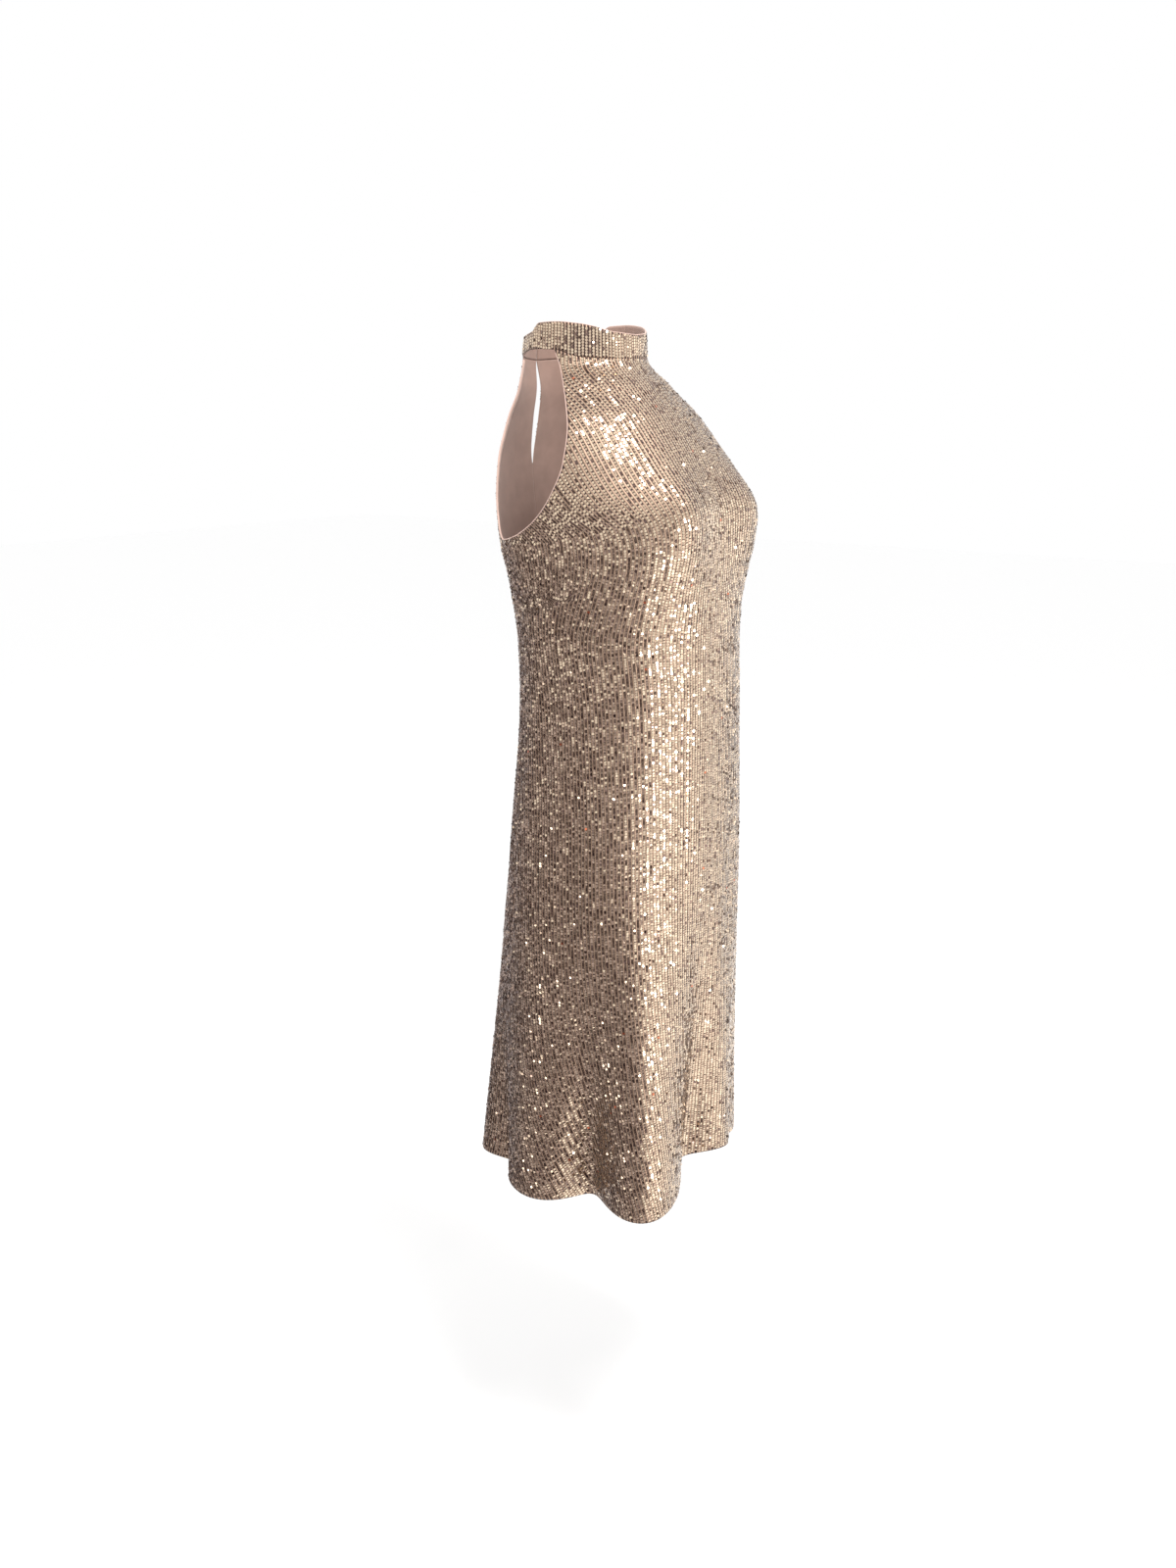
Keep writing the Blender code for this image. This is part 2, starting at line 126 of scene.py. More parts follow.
# collar: degrees from centre front, height of the seam, height of the top edge
collarRows = [(0.0, -0.0005, 0.0258), (30.0, -0.0010, 0.0292), (45.0, -0.0008, 0.0345),
              (60.0, 0.0006, 0.0380), (82.0, 0.0084, 0.0404), (101.0, 0.0096, 0.0396),
              (112.0, 0.0090, 0.0300), (125.0, 0.0062, 0.0266), (145.0, 0.0018, 0.0238),
              (180.0, -0.0015, 0.0222)]


def smoothTable(rows, at):
    # monotone cubic through the rows: y = h00 y0 + h10 d m0 + h01 y1 + h11 d m1
    rows = sorted(rows)
    x = np.array([row[0] for row in rows])
    y = np.array([row[1] for row in rows])
    step = np.diff(x)
    slope = np.diff(y) / step
    tangent = np.zeros_like(y)
    tangent[0] = slope[0]
    tangent[-1] = slope[-1]
    same = slope[:-1] * slope[1:] > 0.0
    mean = 2.0 * slope[:-1] * slope[1:] / np.where(same, slope[:-1] + slope[1:], 1.0)
    tangent[1:-1] = np.where(same, mean, 0.0)
    at = np.clip(np.asarray(at, float), x[0], x[-1])
    cell = np.clip(np.searchsorted(x, at, side="right") - 1, 0, len(x) - 2)
    t = (at - x[cell]) / step[cell]
    return ((1.0 + 2.0 * t) * (1.0 - t) ** 2 * y[cell]
            + t * (1.0 - t) ** 2 * step[cell] * tangent[cell]
            + t * t * (3.0 - 2.0 * t) * y[cell + 1]
            + t * t * (t - 1.0) * step[cell] * tangent[cell + 1])


def sectionValue(name, z):
    # one column of the sections at height z, by the smooth table
    column = sectionNames.index(name)
    return smoothTable([(row[0], row[column]) for row in sections], z)


def smoothStep(low, high, value):
    # s = t t (3 - 2 t), t from 0 at low to 1 at high
    t = np.clip((value - low) / (high - low), 0.0, 1.0)
    return t * t * (3.0 - 2.0 * t)


def turnFrom(angle, place):
    # angle less place, brought between -180 and 180 degrees
    return (angle - place + 180.0) % 360.0 - 180.0


def dressRadius(angle, z):
    # superellipse (|sin a|/w)^n + (|cos a|/d)^n = r^-n, plus reach exp(-1.4 (away/spread)^2) fall^1.6
    turn = np.radians(angle)
    depth = np.where(np.cos(turn) > 0.0, sectionValue("front", z), sectionValue("back", z))
    power = sectionValue("square", z)
    radius = ((np.abs(np.sin(turn)) / sectionValue("width", z)) ** power
              + (np.abs(np.cos(turn)) / depth) ** power) ** (-1.0 / power)
    for place, reach, spread, start in flutes:
        bump = np.exp(-(turnFrom(angle, place) / spread) ** 2 * 1.4)
        fall = np.clip((start - z) / (start - dress["hem"]), 0.0, 1.3) ** 1.6
        radius = radius + reach * bump * fall
    return radius


def creaseDepth(angle, z):
    # sum of depth exp(-(across/half)^2) with soft ends, across measured from each crease's own line
    depth = np.zeros_like(angle)
    radius = dress["girthRadius"]
    for angleA, zA, angleB, zB, deep, half in creases:
        dx = math.radians(angleB - angleA) * radius
        dz = zB - zA
        long = math.hypot(dx, dz)
        x = np.radians(turnFrom(angle, angleA)) * radius
        along = (x * dx + (z - zA) * dz) / long ** 2
        across = (x * dz - (z - zA) * dx) / long
        ends = smoothStep(0.0, 0.3, along) * (1.0 - smoothStep(0.7, 1.0, along))
        depth = depth + deep * np.exp(-(across / half) ** 2) * ends
    return depth


def formPoint(angle, z):
    # x = r sin a, y = centre - r cos a, with a bell-shaped cup pushed forward on each side
    angle, z = np.broadcast_arrays(np.asarray(angle, float), np.asarray(z, float))
    radius = dressRadius(angle, z) - creaseDepth(angle, z)
    turn = np.radians(angle)
    centre = sectionValue("centre", z)
    x = radius * np.sin(turn)
    y = centre - radius * np.cos(turn)
    height = z - cup["z"]
    tall = np.where(height > 0.0, cup["above"], cup["below"])
    bell = np.exp(-((np.abs(x) - cup["x"]) / cup["across"]) ** 2 - (height / tall) ** 2)
    y = y - cup["reach"] * bell * smoothStep(0.0, 0.06, centre - y)
    return np.stack([x, y, z], axis=-1)


def unit(vectors):
    # each vector over its own length
    return vectors / np.linalg.norm(vectors, axis=-1, keepdims=True)


def formNormal(angle, z):
    # n = down x across, from differences of the form
    across = formPoint(angle + 0.3, z) - formPoint(angle - 0.3, z)
    down = formPoint(angle, z - 0.001) - formPoint(angle, z + 0.001)
    return unit(np.cross(down, across))


def hemHeight(angle):
    # z = hem + rise exp(-(away / spread)^2), away from the angle where it rises most
    away = turnFrom(np.asarray(angle, float), dress["riseAngle"])
    return dress["hem"] + dress["frontRise"] * np.exp(-(away / dress["riseSpread"]) ** 2)


def collarHeight(column, angle):
    # smooth table of the collar rows: column 1 is the seam, column 2 the top edge
    return smoothTable([(row[0], row[column]) for row in collarRows], np.abs(angle))


def panelHeight(angle, row):
    # z = row + collar seam, faded out on the way down, + the hem's rise, grown from the underarm down
    seam = collarHeight(1, angle) * smoothStep(dress["seamFade"], 0.0, row)
    below = np.clip((dress["underarm"] - row) / (dress["underarm"] - dress["hem"]), 0.0, 1.0)
    return row + seam + (hemHeight(angle) - dress["hem"]) * below


def sideEdge(table, z):
    # degrees from centre front of a panel's side edge: armhole above, side seam below
    z = np.asarray(z, float)
    return np.where(z <= dress["underarm"], smoothTable(sideSeam, z), smoothTable(table, z))


def slitInset(z):
    # half width of the opening at centre back: g/2 + w sin(pi z/bottom)^0.8
    along = np.clip(np.asarray(z, float) / dress["slitBottom"], 0.0, 1.0)
    inset = 0.5 * dress["backGap"] + dress["slitHalfWidth"] * np.sin(math.pi * along) ** 0.8
    return np.where(z <= dress["slitBottom"], 0.0, inset)


# the grain of the knit: rows of sequins keep their distance from the centre line in the cloth
grain = {
    "rowPitch": 0.0044,        # between rows of sequins
    "columnStep": 4.0,         # degrees between the columns of the tables
    "levels": 420,
    "reach": 0.035,            # how far up or down a column's way may step
    "ways": 57,
    "dartTip": (72.5, -0.270),
    "dartFoot": (117.0, -0.302),
    "shiftFull": 0.22,         # distance from centre front where the lean is full
    "never": 9.0,              # a way longer than any, for a step across the dart
}
# the lean of the rows towards the side: height, shift across the rows, above and below the dart
leanAbove = [(0.0, 0.010), (-0.06, 0.020), (-0.14, 0.030), (-0.17, 0.026), (-0.20, 0.010),
             (-0.25, -0.013), (-0.30, -0.036)]
leanBelow = [(-0.26, 0.026), (-0.33, 0.012), (-0.42, 0.003), (-0.55, 0.0)]
levels = np.linspace(0.012, dress["hem"] - 0.012, grain["levels"])      # heights, top to bottom
degrees = np.arange(0.0, 180.0 + 0.5 * grain["columnStep"], grain["columnStep"])


def dartHeight(angle):
    # the dart's line: straight from the side seam to its tip, level beyond the tip
    tip, foot = grain["dartTip"], grain["dartFoot"]
    share = (np.abs(angle) - tip[0]) / (foot[0] - tip[0])
    return tip[1] + (foot[1] - tip[1]) * np.clip(share, 0.0, 1.0)


def wayAcross(side, fromBack):
    # shortest way over the cloth from the centre line: least of (last column's way + step to it)
    columns = 180.0 - degrees if fromBack else degrees
    way = np.zeros((len(levels), len(columns)))
    shift = np.linspace(-grain["reach"], grain["reach"], grain["ways"])
    z = levels[:, None] + shift[None, :]
    for index in range(1, len(columns)):
        last, here = columns[index - 1], columns[index]
        step = np.linalg.norm(formPoint(side * here, levels)[:, None] - formPoint(side * last, z), axis=2)
        before = np.interp(-z, -levels, way[:, index - 1])
        if not fromBack and here > grain["dartTip"][0]:
            crosses = (z > dartHeight(last)) != (levels[:, None] > dartHeight(here))
            before = np.where(crosses, grain["never"], before)
        way[:, index] = (before + step).min(axis=1)
    return way[:, ::-1] if fromBack else way


def grainTable(side, fromBack):
    # distance across the rows: r = way - shift w(way), w rising smoothly from the centre to the side;
    # shift = joined + (split - joined) share, share 0 in front of the dart's tip and 1 at its foot
    way = wayAcross(side, fromBack)
    if fromBack:
        return way
    z = levels[:, None]
    above, below = smoothTable(leanAbove, z), smoothTable(leanBelow, z)
    joined = below + (above - below) * smoothStep(-0.34, -0.20, z)
    split = np.where(z > dartHeight(degrees[None, :]), above, below)
    tip, foot = grain["dartTip"][0], grain["dartFoot"][0]
    share = np.clip((degrees[None, :] - tip) / (foot - tip), 0, 1)
    shift = joined + (split - joined) * share
    return way - shift * smoothStep(0.0, grain["shiftFull"], way)


grainTables = {}
for side in (-1, 1):
    for fromBack in (False, True):
        grainTables[(side, fromBack)] = grainTable(side, fromBack)
print("grain worked out")


def grainAt(angle, z, fromBack):
    # bilinear look-up of the distance across the rows
    side = np.where(angle < 0.0, -1, 1)
    row = np.clip((levels[0] - z) / (levels[0] - levels[-1]) * (len(levels) - 1), 0, len(levels) - 1.001)
    column = np.clip(np.abs(angle) / 180.0 * (len(degrees) - 1), 0, len(degrees) - 1.001)
    i, j = row.astype(int), column.astype(int)
    a, b = row - i, column - j
    result = np.zeros_like(angle)
    for one in (-1, 1):
        table = grainTables[(one, fromBack)]
        value = ((table[i, j] * (1 - b) + table[i, j + 1] * b) * (1 - a)
                 + (table[i + 1, j] * (1 - b) + table[i + 1, j + 1] * b) * a)
        result = np.where(side == one, value * one, result)
    return result


# mesh helpers
pieces = {}


def gridFaces(corner):
    # four-sided faces between the rows of a grid of corner numbers
    faces = np.stack([corner[:-1, :-1], corner[1:, :-1], corner[1:, 1:], corner[:-1, 1:]], axis=-1)
    return faces.reshape(-1, 4)


def newPiece(name, points, faces, materials, smooth=True, uv=None, tints=None, slots=None):
    # a mesh from points and faces of one number of sides, with cloth coordinates, tints and slots
    points = np.asarray(points, np.float32).reshape(-1, 3)
    faces = np.asarray(faces, np.int32)
    mesh = bpy.data.meshes.new(name)
    sides = faces.shape[1]
    mesh.vertices.add(len(points))
    mesh.vertices.foreach_set("co", points.ravel())
    mesh.loops.add(faces.size)
    mesh.loops.foreach_set("vertex_index", faces.ravel())
    mesh.polygons.add(len(faces))
    mesh.polygons.foreach_set("loop_start", np.arange(0, faces.size, sides, dtype=np.int32))
    mesh.polygons.foreach_set("loop_total", np.full(len(faces), sides, np.int32))
    mesh.update(calc_edges=True)
    if uv is not None:
        layer = mesh.uv_layers.new(name="cloth")
        layer.data.foreach_set("uv", np.asarray(uv, np.float32)[faces.ravel()].ravel())
    if tints is not None:
        layer = mesh.attributes.new("tint", "FLOAT", "POINT")
        layer.data.foreach_set("value", np.asarray(tints, np.float32))
    for material in materials:
        mesh.materials.append(material)
    if slots is not None:
        mesh.polygons.foreach_set("material_index", np.asarray(slots, np.int32))
    mesh.polygons.foreach_set("use_smooth", np.full(len(faces), smooth))
    mesh.validate()
    thing = bpy.data.objects.new(name, mesh)
    bpy.context.scene.collection.objects.link(thing)
    pieces[name] = thing
    return thing


def wallPiece(name, outer, normals, wall, materials, uvGrid):
    # closed wall: outer skin p, inner skin p - w n, and a rim; inner skin takes the second material
    inner = outer - wall * normals
    rows, columns = outer.shape[:2]
    out = np.arange(rows * columns).reshape(rows, columns)
    back = out + rows * columns
    border = np.concatenate([out[0, :-1], out[:-1, -1], out[-1, :0:-1], out[:0:-1, 0]])
    border = np.append(border, border[0])
    rim = gridFaces(np.stack([border + rows * columns, border]))
    outFaces = gridFaces(out)
    backFaces = gridFaces(back[:, ::-1])
    faces = np.concatenate([outFaces, backFaces, rim])
    slots = np.concatenate([np.zeros(len(outFaces)), np.ones(len(backFaces)), np.ones(len(rim))])
    uv = np.concatenate([uvGrid.reshape(-1, 2), uvGrid.reshape(-1, 2)])
    points = np.concatenate([outer.reshape(-1, 3), inner.reshape(-1, 3)])
    return newPiece(name, points, faces, materials, uv=uv, slots=slots)


def tubePiece(name, ring, material):
    # rings of points carried along a path, ring is (steps, sides, 3); each end is a fan about its mean point
    steps, sides = ring.shape[:2]
    corner = np.arange(steps * sides).reshape(steps, sides)
    corner = np.concatenate([corner, corner[:, :1]], axis=1)
    middles = np.array([ring[0].mean(axis=0), ring[-1].mean(axis=0)])
    points = np.concatenate([ring.reshape(-1, 3), middles])
    piece = newPiece(name, points, gridFaces(corner), [material])
    shape = bmesh.new()
    shape.from_mesh(piece.data)
    shape.verts.ensure_lookup_table()
    for middle, rim in ((steps * sides, corner[0, ::-1]), (steps * sides + 1, corner[-1])):
        for a, b in zip(rim[:-1], rim[1:]):
            shape.faces.new([shape.verts[middle], shape.verts[a], shape.verts[b]]).smooth = True
    bmesh.ops.recalc_face_normals(shape, faces=shape.faces)
    shape.to_mesh(piece.data)
    shape.free()
    return piece


# materials
finishes = {
    "sequinCopper": (0.90, 0.26, 0.12),
    "sequinPale": (0.91, 0.735, 0.530),
    "sequinRose": (0.50, 0.350, 0.260),
    # painted reflection: the deep colour stands for sequins that mirror dark surroundings
    "sequinDarkReflection": (0.17, 0.105, 0.090),
    "knitRidge": (0.48, 0.325, 0.230),
    # painted shade: the groove colour is darkened to stand for shade in the recess between ribs
    "knitGrooveShade": (0.070, 0.040, 0.034),
    "lining": (0.44, 0.29, 0.235),
    "tape": (0.80, 0.56, 0.47),
    "button": (0.30, 0.18, 0.11),
}


def newMaterial(name):
    # a new surface, with its nodes, links and main shader
    material = bpy.data.materials.new(name)
    material.use_nodes = True
    nodes = material.node_tree.nodes
    return material, nodes, material.node_tree.links, nodes["Principled BSDF"]


def sequinMaterial():
    # metallised film: colour by each sequin's tint, from deep through rose to pale gold, and a rare copper;
    # the deep tints are painted reflection of dark surroundings and the spread of the others is partly
    # painted reflection
    material, nodes, links, shader = newMaterial("sequinFilm")
    tint = nodes.new("ShaderNodeAttribute")
    tint.attribute_name = "tint"
    ramp = nodes.new("ShaderNodeValToRGB")
    ramp.color_ramp.elements[0].color = (*finishes["sequinDarkReflection"], 1.0)
    ramp.color_ramp.elements[1].color = (*finishes["sequinCopper"], 1.0)
    for position, name in ((0.4, "sequinRose"), (0.94, "sequinPale")):
        ramp.color_ramp.elements.new(position).color = (*finishes[name], 1.0)
    links.new(tint.outputs["Fac"], ramp.inputs["Fac"])
    links.new(ramp.outputs["Color"], shader.inputs["Base Color"])
    shader.inputs["Metallic"].default_value = 1.0
    shader.inputs["Roughness"].default_value = 0.13
    shader.inputs["Coat Weight"].default_value = 0.6
    shader.inputs["Coat Roughness"].default_value = 0.10
    return material


def knitMaterial():
    # ribbed ground of lustrous thread: a ridge between the rows, fine loops along it; the grooves carry
    # painted shade, a darker colour standing for shade between the ribs
    material, nodes, links, shader = newMaterial("ribbedKnit")
    uv = nodes.new("ShaderNodeUVMap")
    uv.uv_map = "cloth"
    split = nodes.new("ShaderNodeSeparateXYZ")
    links.new(uv.outputs["UV"], split.inputs["Vector"])
    phase = nodes.new("ShaderNodeMath")
    phase.operation = "MULTIPLY"
    phase.inputs[1].default_value = 2.0 * math.pi
    links.new(split.outputs["X"], phase.inputs[0])
    wave = nodes.new("ShaderNodeMath")
    wave.operation = "COSINE"
    links.new(phase.outputs[0], wave.inputs[0])
    fine = nodes.new("ShaderNodeTexNoise")
    fine.inputs["Scale"].default_value = 3.0
    fine.inputs["Detail"].default_value = 3.0
    stretch = nodes.new("ShaderNodeMapping")
    stretch.inputs["Scale"].default_value = (3.0, 700.0, 1.0)
    links.new(uv.outputs["UV"], stretch.inputs["Vector"])
    links.new(stretch.outputs["Vector"], fine.inputs["Vector"])
    height = nodes.new("ShaderNodeMath")
    height.operation = "MULTIPLY_ADD"
    height.inputs[1].default_value = 0.5
    links.new(fine.outputs["Fac"], height.inputs[0])
    links.new(wave.outputs[0], height.inputs[2])
    ramp = nodes.new("ShaderNodeValToRGB")
    # painted shade: the low end of the ramp darkens the grooves between the ribs
    ramp.color_ramp.elements[0].position = 0.25
    ramp.color_ramp.elements[0].color = (*finishes["knitGrooveShade"], 1.0)
    ramp.color_ramp.elements[1].position = 0.95
    ramp.color_ramp.elements[1].color = (*finishes["knitRidge"], 1.0)
    links.new(height.outputs[0], ramp.inputs["Fac"])
    links.new(ramp.outputs["Color"], shader.inputs["Base Color"])
    bump = nodes.new("ShaderNodeBump")
    bump.inputs["Strength"].default_value = 0.6
    bump.inputs["Distance"].default_value = 0.0006
    links.new(height.outputs[0], bump.inputs["Height"])
    links.new(bump.outputs["Normal"], shader.inputs["Normal"])
    shader.inputs["Metallic"].default_value = 0.7
    shader.inputs["Roughness"].default_value = 0.42
    shader.inputs["Sheen Weight"].default_value = 0.1
    return material


def liningMaterial(name, colour, roughness):
    # smooth tricot: a fine grain as bump and a slight mottle
    material, nodes, links, shader = newMaterial(name)
    place = nodes.new("ShaderNodeTexCoord")
    mottle = nodes.new("ShaderNodeTexNoise")
    mottle.inputs["Scale"].default_value = 60.0
    mottle.inputs["Detail"].default_value = 4.0
    links.new(place.outputs["Object"], mottle.inputs["Vector"])
    ramp = nodes.new("ShaderNodeValToRGB")
    ramp.color_ramp.elements[0].position = 0.3
    ramp.color_ramp.elements[0].color = (*[value * 0.86 for value in colour], 1.0)
    ramp.color_ramp.elements[1].position = 0.7
    ramp.color_ramp.elements[1].color = (*colour, 1.0)
    links.new(mottle.outputs["Fac"], ramp.inputs["Fac"])
    links.new(ramp.outputs["Color"], shader.inputs["Base Color"])
    weave = nodes.new("ShaderNodeTexNoise")
    weave.inputs["Scale"].default_value = 1600.0
    links.new(place.outputs["Object"], weave.inputs["Vector"])
    bump = nodes.new("ShaderNodeBump")
    bump.inputs["Strength"].default_value = 0.25
    bump.inputs["Distance"].default_value = 0.0003
    links.new(weave.outputs["Fac"], bump.inputs["Height"])
    links.new(bump.outputs["Normal"], shader.inputs["Normal"])
    shader.inputs["Roughness"].default_value = roughness
    shader.inputs["Sheen Weight"].default_value = 0.15
    return material


def buttonMaterial():
    # glossy button with soft swirls
    material, nodes, links, shader = newMaterial("buttonGloss")
    place = nodes.new("ShaderNodeTexCoord")
    swirl = nodes.new("ShaderNodeTexNoise")
    swirl.inputs["Scale"].default_value = 350.0
    swirl.inputs["Distortion"].default_value = 1.2
    links.new(place.outputs["Object"], swirl.inputs["Vector"])
    ramp = nodes.new("ShaderNodeValToRGB")
    ramp.color_ramp.elements[0].color = (*[value * 0.7 for value in finishes["button"]], 1.0)
    ramp.color_ramp.elements[1].color = (*[value * 1.5 for value in finishes["button"]], 1.0)
    links.new(swirl.outputs["Fac"], ramp.inputs["Fac"])
    links.new(ramp.outputs["Color"], shader.inputs["Base Color"])
    shader.inputs["Roughness"].default_value = 0.22
    return material


sequinFilm = sequinMaterial()
ribbedKnit = knitMaterial()
backing = liningMaterial("backingTricot", finishes["lining"], 0.62)
tapeSatin = liningMaterial("tapeSatin", finishes["tape"], 0.48)
buttonGloss = buttonMaterial()
print("materials made")

# cloth shells
shell = {"rows": 210, "frontColumns": 150, "backColumns": 76, "collarRows": 12, "collarColumns": 90,
         "collarWall": 0.0020}


def rowHeights():
    # closer rows above the underarm, where the edges curve
    yoke = np.linspace(0.0, dress["underarm"], shell["rows"] // 3 + 1)
    skirt = np.linspace(dress["underarm"], dress["hem"], shell["rows"] * 2 // 3 + 1)
    return np.concatenate([yoke, skirt[1:]])


def panelShell(name, side, fromBack, columns):
    # rows from the collar seam to the hem, columns evenly between the two edges of each row
    share = np.linspace(0.0, 1.0, columns + 1)
    row = rowHeights()[:, None]
    table = armholeBack if fromBack else armholeFront
    corner = table[0][1]
    edgeZ = np.where(row > dress["underarm"], panelHeight(np.full_like(row, corner), row), row)
    edge = sideEdge(table, edgeZ)
    if fromBack:
        centre = 180.0 - np.degrees(slitInset(row) / dressRadius(180.0, row))
        angle = side * (edge + (centre - edge) * share)
        angle = np.sort(angle, axis=1)
    else:
        angle = edge * (2.0 * share - 1.0)
    z = panelHeight(angle, row + 0.0 * angle)
    outer = formPoint(angle, z)
    normals = formNormal(angle, z)
    across = grainAt(angle, z, fromBack)
    uv = np.stack([across / grain["rowPitch"], z], axis=-1)
    return wallPiece(name, outer, normals, dress["wall"], [ribbedKnit, backing], uv)


frontCloth = panelShell("frontCloth", 0, False, shell["frontColumns"])
backLeftCloth = panelShell("backLeftCloth", 1, True, shell["backColumns"])
backRightCloth = panelShell("backRightCloth", -1, True, shell["backColumns"])
print("panels made")


def collarPoint(angle, up):
    # r = neck radius - taper up, z from the seam to the top edge
    turn = np.radians(angle)
    radius = dress["neckRadius"] - dress["collarTaper"] * up
    seam = collarHeight(1, angle)
    z = seam + (collarHeight(2, angle) - seam) * up
    return np.stack([radius * np.sin(turn), -radius * np.cos(turn), z], axis=-1)


def collarShell(name, start, end, columns):
    # the band as a wall: p = collarPoint(a, up), normal (sin a, -cos a, 0)
    angle = np.linspace(start, end, columns + 1)[None, :]
    up = np.linspace(1.0, 0.0, shell["collarRows"] + 1)[:, None]
    angle, up = np.broadcast_arrays(angle, up)
    outer = collarPoint(angle, up)
    turn = np.radians(angle)
    normals = np.stack([np.sin(turn), -np.cos(turn), np.zeros_like(turn)], axis=-1)
    across = turn * dress["neckRadius"]
    uv = np.stack([across / grain["rowPitch"], outer[..., 2]], axis=-1)
    return wallPiece(name, outer, normals, shell["collarWall"], [ribbedKnit, backing], uv)


seamAngle = dress["collarSeamAngle"]
collarEnd = 180.0 - math.degrees(0.5 * dress["backGap"] / dress["neckRadius"])
collarFront = collarShell("collarFront", -seamAngle, seamAngle, shell["collarColumns"])
collarBackLeft = collarShell("collarBackLeft", seamAngle, collarEnd, shell["collarColumns"] // 2)
collarBackRight = collarShell("collarBackRight", -collarEnd, -seamAngle, shell["collarColumns"] // 2)
print("collar made")

# sequins
sequin = {
    "radius": 0.00158,
    "pitch": 0.0033,           # along a row
    "lift": 0.0005,
    "rowTurn": 6.0,            # neighbouring rows face a little left and right, degrees
    "tiltAcross": 5.0,         # usual tilt, partly shared by neighbours in a row
    "tiltAlong": 6.0,
    "shared": 0.88,
    "shingle": 3.0,            # each laps the next one down
    "looseShare": 0.20,        # some hang looser and tilt more
    "looseTilt": 15.0,
    "darkReflectionShare": 0.07,         # painted reflection: sequins given a dark tint to stand for films that mirror dark surroundings
    "copperShare": 0.0012,
    "edge": 0.0016,            # bare cloth at cut edges
    "seamEdge": 0.0005,        # and at the side seams, where the rows run into the seam
    "dartEdge": 0.0009,        # and along the dart
    "sideRadius": 0.15,        # mean radius, to turn those widths into degrees
    "startSpread": 0.08,       # unevenness along a row, in pitches, and across it, in degrees
    "rowSpread": 0.05,
    "mostTilt": 35.0,          # none tilts further
    "overrun": 1.06,           # places set out along a row, as a share of those that fit
    "sizes": (0.93, 1.07),     # least and most, as a share of the radius
    # tint ranges on the colour ramp: the dark range is painted reflection of dark surroundings, and the
    # spread of the pale range is partly painted reflection
    "darkReflectionTint": (0.0, 0.3),
    "paleTint": (0.56, 0.86),
    "collarSteps": 15,         # places down each row on the collar
    "collarTop": 0.0415,       # height the collar's rows start from
    "collarEdge": 0.0012,      # bare cloth at the collar's edge and seam
    "collarStart": 0.0015,     # from the band's ends to its first and last rows
    "collarStop": 0.001,
    "collarPitch": 0.95,       # rows on the collar, as a share of the pitch elsewhere
    "sides": 8,
    "seed": 41,
}


def rowTilts(steps, rows, random):
    # degrees of tilt across and along each row: own + shared, shared = three-long mean down the row
    own = random.normal(0.0, 1.0, (2, steps, rows))
    runs = random.normal(0.0, 1.0, (2, steps + 2, rows))
    runs = (runs[:, :-2] + runs[:, 1:-1] + runs[:, 2:]) / math.sqrt(3.0)
    mixed = sequin["shared"] * runs + math.sqrt(1.0 - sequin["shared"] ** 2) * own
    loose = random.random((steps, rows)) < sequin["looseShare"]
    turn = sequin["rowTurn"] * (1.0 - 2.0 * (np.arange(rows) % 2))[None, :]
    across = np.where(loose, sequin["looseTilt"] * own[0], turn + sequin["tiltAcross"] * mixed[0])
    usual = sequin["shingle"] + sequin["tiltAlong"] * mixed[1]
    along = np.where(loose, sequin["looseTilt"] * own[1], usual)
    most = sequin["mostTilt"]
    return np.clip(across, -most, most), np.clip(along, -most, most)


def sequinDiscs(name, centre, normal, down, tilts, random):
    # each is a flat n-gon: c + r (u cos t + v sin t), u and v across its own tilted normal
    count = len(centre)
    across = unit(np.cross(down, normal))
    down = np.cross(normal, across)
    tiltA, tiltB = np.tan(np.radians(tilts[0]))[:, None], np.tan(np.radians(tilts[1]))[:, None]
    tilted = unit(normal + tiltA * across + tiltB * down)
    u = unit(np.cross(down, tilted))
    v = np.cross(tilted, u)
    spin = random.random(count)[:, None] * 2.0 * math.pi
    turn = spin - np.linspace(0.0, 2.0 * math.pi, sequin["sides"], endpoint=False)[None, :]
    size = sequin["radius"] * random.uniform(*sequin["sizes"], count)[:, None, None]
    points = centre[:, None, :] + size * (np.cos(turn)[..., None] * u[:, None, :]
                                          + np.sin(turn)[..., None] * v[:, None, :])
    faces = np.arange(count * sequin["sides"]).reshape(count, sequin["sides"])
    # painted reflection: a share of the sequins get dark tints that stand for films mirroring dark
    # surroundings, and the spread of the other tints is partly painted reflection too
    dark = random.random(count) < sequin["darkReflectionShare"]
    tint = np.where(dark, random.uniform(*sequin["darkReflectionTint"], count),
                    random.uniform(*sequin["paleTint"], count))
    tint = np.where(random.random(count) < sequin["copperShare"], 1.0, tint)
    tints = np.repeat(tint, sequin["sides"])
    return newPiece(name, points, faces, [sequinFilm], smooth=False, tints=tints)


def rowAngles(side, fromBack, rows):
    # degrees at which each row of sequins crosses each level
    table = grainTables[(side, fromBack)]
    found = np.empty((len(levels), len(rows)))
    for index, values in enumerate(table):
        order = np.argsort(values)
        found[index] = np.interp(rows, values[order], degrees[order], left=np.nan, right=np.nan)
    return found


